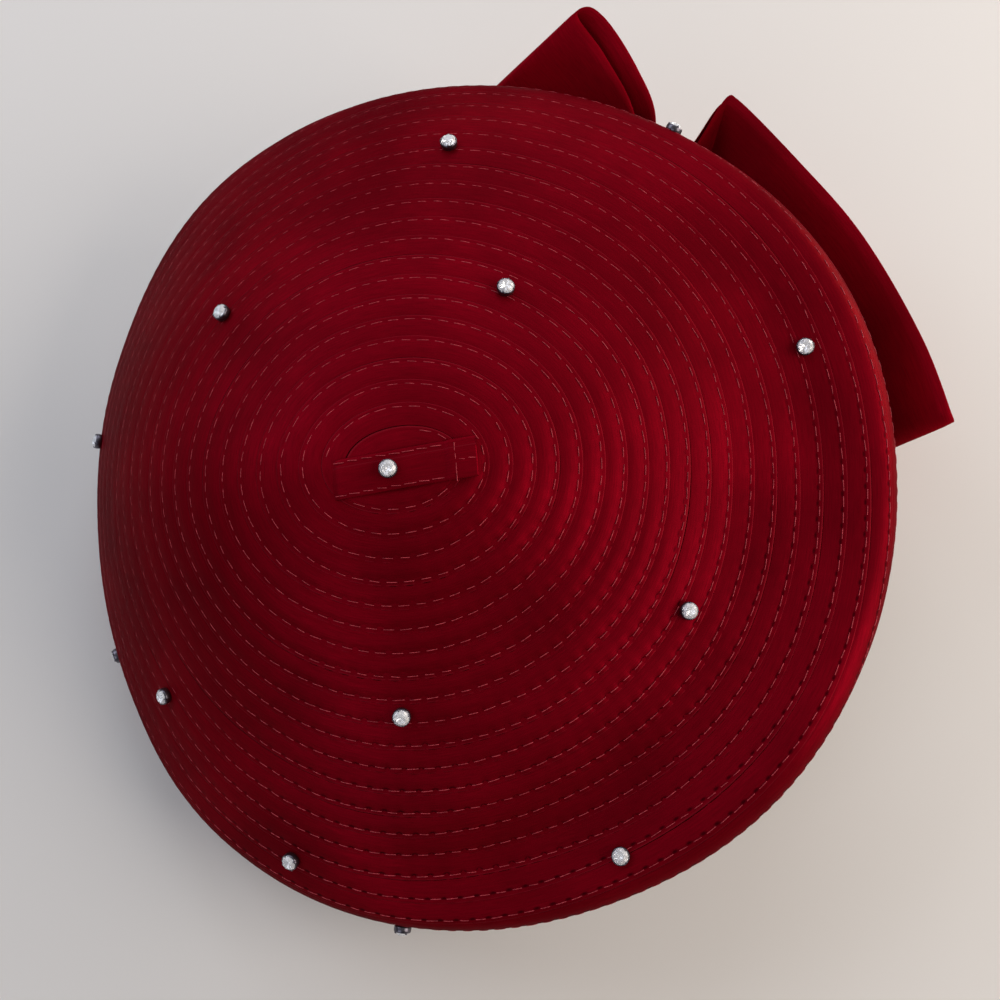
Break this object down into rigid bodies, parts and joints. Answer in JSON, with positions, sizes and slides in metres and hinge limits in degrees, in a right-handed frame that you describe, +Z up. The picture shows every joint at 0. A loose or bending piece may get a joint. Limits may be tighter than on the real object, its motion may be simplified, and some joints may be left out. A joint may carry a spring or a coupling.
{
  "type": "satin ribbon saucer hat",
  "caption": "Saucer-shaped dress hat of lapped satin ribbon sewn in a spiral, with scattered rhinestones and a wide ribbon bow under its rolled edge.",
  "frame": {"origin": "bottom centre of the hat's box, on the surface that it lies on", "axes": "+Z up; +Y towards the raised back edge; +X towards the bow's side"},
  "size_m": [0.3532, 0.3546, 0.1369],
  "materials": {
    "ribbon_satin": "burgundy satin ribbon, lapped and sewn in rows",
    "bow_satin": "wide burgundy satin ribbon, smooth",
    "rhinestone": "clear cut stone, foil backed, in a bright silver cup"
  },
  "bodies": {
    "root": {"crown": "ribbon_satin", "centre_strip": "ribbon_satin", "bow_loop_right": "bow_satin", "bow_loop_left": "bow_satin", "bow_knot": "bow_satin", "rhinestone_01": "rhinestone", "rhinestone_02": "rhinestone", "rhinestone_03": "rhinestone", "rhinestone_04": "rhinestone", "rhinestone_05": "rhinestone", "rhinestone_06": "rhinestone", "rhinestone_07": "rhinestone", "rhinestone_08": "rhinestone", "rhinestone_09": "rhinestone", "rhinestone_10": "rhinestone", "rhinestone_11": "rhinestone", "rhinestone_12": "rhinestone", "rhinestone_13": "rhinestone", "rhinestone_14": "rhinestone"}
  },
  "joints": []
}
